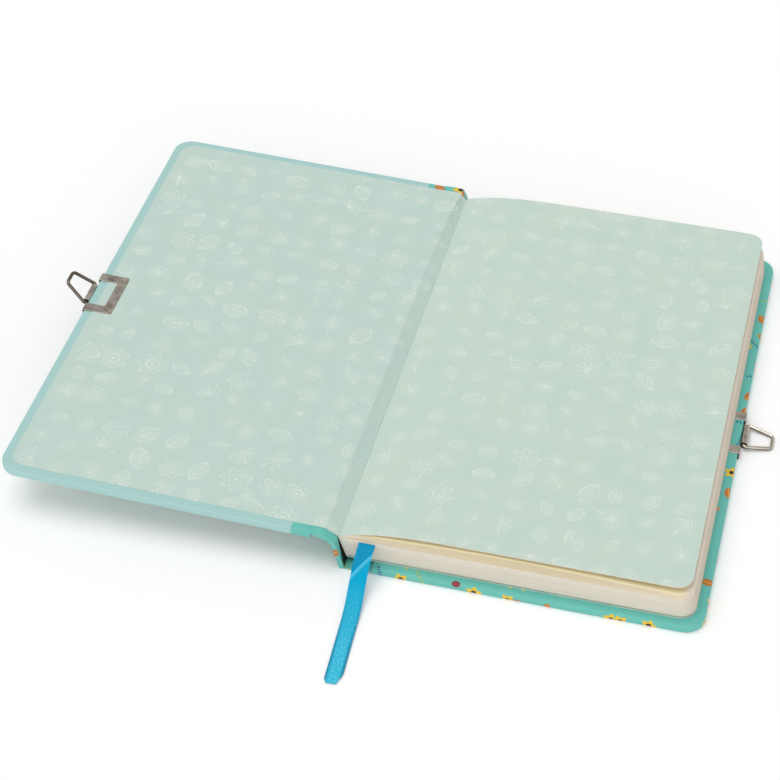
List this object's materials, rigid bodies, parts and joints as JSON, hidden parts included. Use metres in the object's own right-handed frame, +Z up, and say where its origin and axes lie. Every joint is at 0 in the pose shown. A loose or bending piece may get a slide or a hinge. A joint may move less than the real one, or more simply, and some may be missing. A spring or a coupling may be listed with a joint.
{
  "type": "diary with lock loops",
  "caption": "Hardback diary lying open at its front endpapers, with a hinged case, sewn text block, loose leaves, ribbon marker and swinging lock loops on the cover edges.",
  "frame": {"origin": "middle of the closed diary's underside, on the back cover's outer face", "axes": "+X from the spine to the fore edge of the back cover, +Y to the head, +Z up off the table"},
  "size_m": [0.2855, 0.2625, 0.0262],
  "materials": {
    "turquoise_paper": "satin",
    "aqua_paper": "satin",
    "endpaper": "matte",
    "greyboard": "matte",
    "page": "matte",
    "lining": "matte",
    "thread": "matte",
    "ribbon": "satin",
    "steel": "satin"
  },
  "bodies": {
    "back_cover": {"back_board": "greyboard", "back_cover_paper": "turquoise_paper", "back_pastedown": "endpaper", "back_clip": "steel", "back_flyleaf": "endpaper", "section_1": "page", "section_2": "page", "section_3": "page", "section_4": "page", "section_5": "page", "section_6": "page", "section_7": "page", "section_8": "page", "section_backs": "page", "spine_lining": "lining", "sewing_threads": "thread", "ribbon": "ribbon", "ribbon_tail": "ribbon", "flyleaf_root": "endpaper", "leaf_roots": "page", "back_joint": "turquoise_paper", "endpaper_gutter": "endpaper"},
    "spine": {"spine_board": "greyboard", "spine_paper": "turquoise_paper", "front_joint": "turquoise_paper"},
    "front_cover": {"front_board": "greyboard", "front_cover_paper": "aqua_paper", "front_spine_strip": "turquoise_paper", "front_pastedown": "endpaper", "front_clip": "steel", "endpaper_hinge": "endpaper"},
    "front_leaves": {"flyleaf": "endpaper", "leaf_1": "page", "leaf_2": "page", "leaf_3": "page"},
    "front_loop": {"front_loop": "steel"},
    "back_loop": {"back_loop": "steel"}
  },
  "joints": [
    {"name": "spine_hinge", "type": "hinge", "parent": "back_cover", "child": "spine", "pos_m": [-0.06495, 0, 0.0018], "axis": [0, -1, 0], "range_deg": [-14, 0], "deforming": ["back_joint", "section_backs", "spine_lining", "endpaper_gutter"]},
    {"name": "cover_hinge", "type": "hinge", "parent": "spine", "child": "front_cover", "pos_m": [-0.06664, 0, 0.01447], "axis": [0, -1, 0], "range_deg": [-164.23, 0], "deforming": ["front_joint", "endpaper_hinge", "flyleaf", "leaf_1", "leaf_2", "leaf_3", "flyleaf_root", "leaf_roots"]},
    {"name": "flyleaf_turn", "type": "hinge", "parent": "back_cover", "child": "front_leaves", "pos_m": [-0.06002, 0, 0.01527], "axis": [0, -1, 0], "range_deg": [0, 165]},
    {"name": "front_loop_swing", "type": "hinge", "parent": "front_cover", "child": "front_loop", "pos_m": [-0.19796, -0.0024, 0.01852], "axis": [0, 1, 0], "range_deg": [-130, 65]},
    {"name": "back_loop_swing", "type": "hinge", "parent": "back_cover", "child": "back_loop", "pos_m": [0.06785, -0.0024, 0.0018], "axis": [0, -1, 0], "range_deg": [0, 111]}
  ]
}
